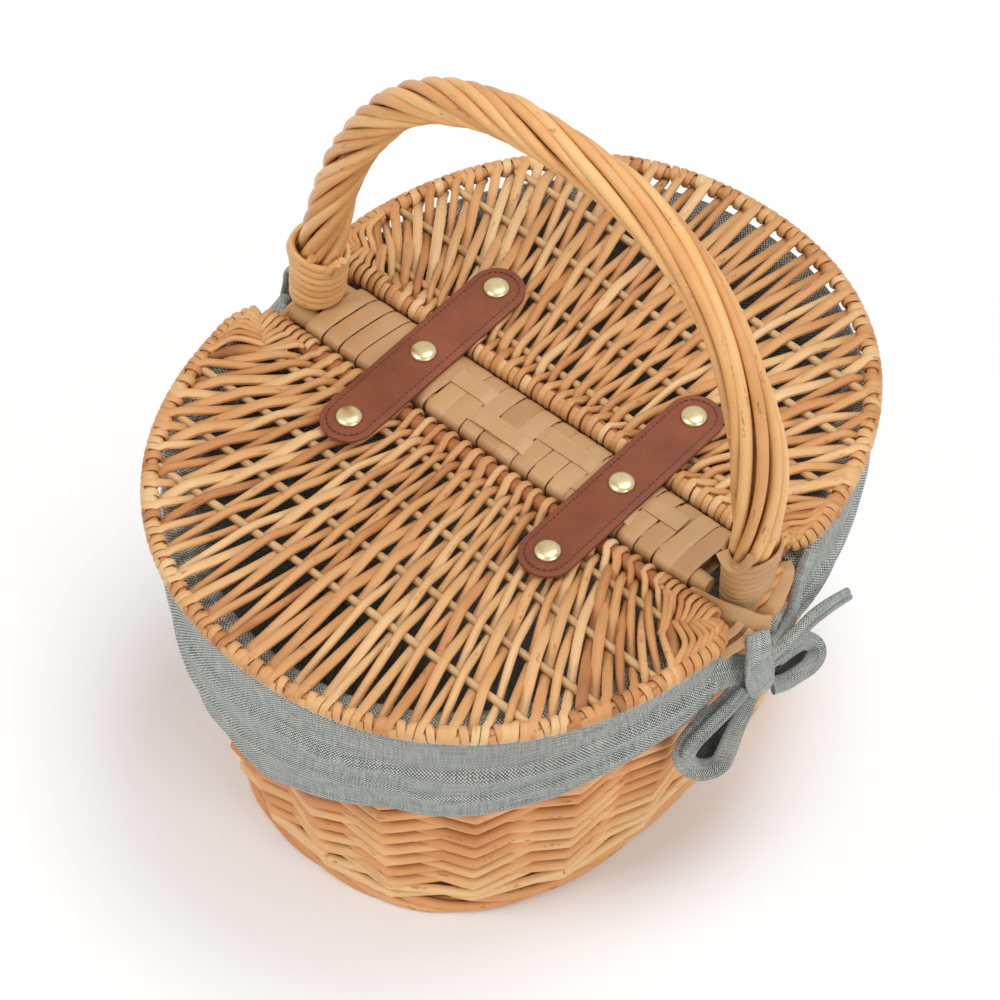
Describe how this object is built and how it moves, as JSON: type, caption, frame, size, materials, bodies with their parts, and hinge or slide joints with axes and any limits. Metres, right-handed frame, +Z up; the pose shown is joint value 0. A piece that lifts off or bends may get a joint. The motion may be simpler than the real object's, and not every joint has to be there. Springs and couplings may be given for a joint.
{
  "type": "picnic basket",
  "caption": "Oval woven willow picnic basket with hinged half lids on leather straps, a fixed arched rope-twist handle, and a cloth liner with a turned-down cuff and tied bows.",
  "frame": {"origin": "on the ground under the middle of the foot", "axes": "+Z up, +X along the centre bar towards the end with the bow seen in the picture, +Y towards the back lid"},
  "size_m": [0.3198, 0.3828, 0.4151],
  "materials": {
    "willow": "steamed willow rods, honey coloured, satin",
    "dark_willow": "steamed willow rods, reddish brown, satin",
    "pale_willow": "peeled willow sticks, pale straw, satin",
    "skein": "split willow strips, flat, smooth satin",
    "linen": "plain woven grey-green linen, matt",
    "leather": "chestnut brown smooth leather, satin",
    "brass": "pale polished brass"
  },
  "bodies": {
    "basket": {"foot_border": "willow", "base_weave": "willow", "base_sticks": "willow", "wall_weave": "willow", "stakes_and_top_border": "willow", "liner_bag": "linen", "liner_cuff_front": "linen", "liner_cuff_back": "linen", "bar_rod_front": "willow", "bar_rod_middle": "willow", "bar_rod_back": "willow", "bar_winding": "skein", "bar_band_left": "skein", "bar_band_right": "skein", "handle_core": "willow", "handle_rope": "willow", "handle_wrap_left": "willow", "handle_wrap_right": "skein", "strap_left_centre": "leather", "strap_right_centre": "leather", "stud_left_centre": "brass", "stud_right_centre": "brass", "stud_cap_left_centre": "brass", "stud_cap_right_centre": "brass", "tie_right_front": "linen", "tie_right_back": "linen", "tie_right_knot": "linen", "tie_left_front": "linen", "tie_left_back": "linen", "tie_left_knot": "linen"},
    "lid_front": {"lid_front_weave": "willow", "lid_front_rim_rod": "willow", "lid_front_hinge_rod": "dark_willow", "lid_front_stick_1": "pale_willow", "lid_front_stick_2": "pale_willow", "lid_front_stick_3": "pale_willow", "lid_front_stick_4": "pale_willow", "strap_left_front": "leather", "strap_right_front": "leather", "stud_left_front": "brass", "stud_right_front": "brass", "stud_cap_left_front": "brass", "stud_cap_right_front": "brass"},
    "lid_back": {"lid_back_weave": "willow", "lid_back_rim_rod": "willow", "lid_back_hinge_rod": "dark_willow", "lid_back_stick_1": "pale_willow", "lid_back_stick_2": "pale_willow", "lid_back_stick_3": "pale_willow", "lid_back_stick_4": "pale_willow", "strap_left_back": "leather", "strap_right_back": "leather", "stud_left_back": "brass", "stud_right_back": "brass", "stud_cap_left_back": "brass", "stud_cap_right_back": "brass"}
  },
  "joints": [
    {"name": "lid_front_hinge", "type": "hinge", "parent": "basket", "child": "lid_front", "pos_m": [0, -0.01995, 0.2067], "axis": [-1, 0, 0], "range_deg": [0, 95]},
    {"name": "lid_back_hinge", "type": "hinge", "parent": "basket", "child": "lid_back", "pos_m": [0, 0.01995, 0.2067], "axis": [1, 0, 0], "range_deg": [0, 90]}
  ]
}
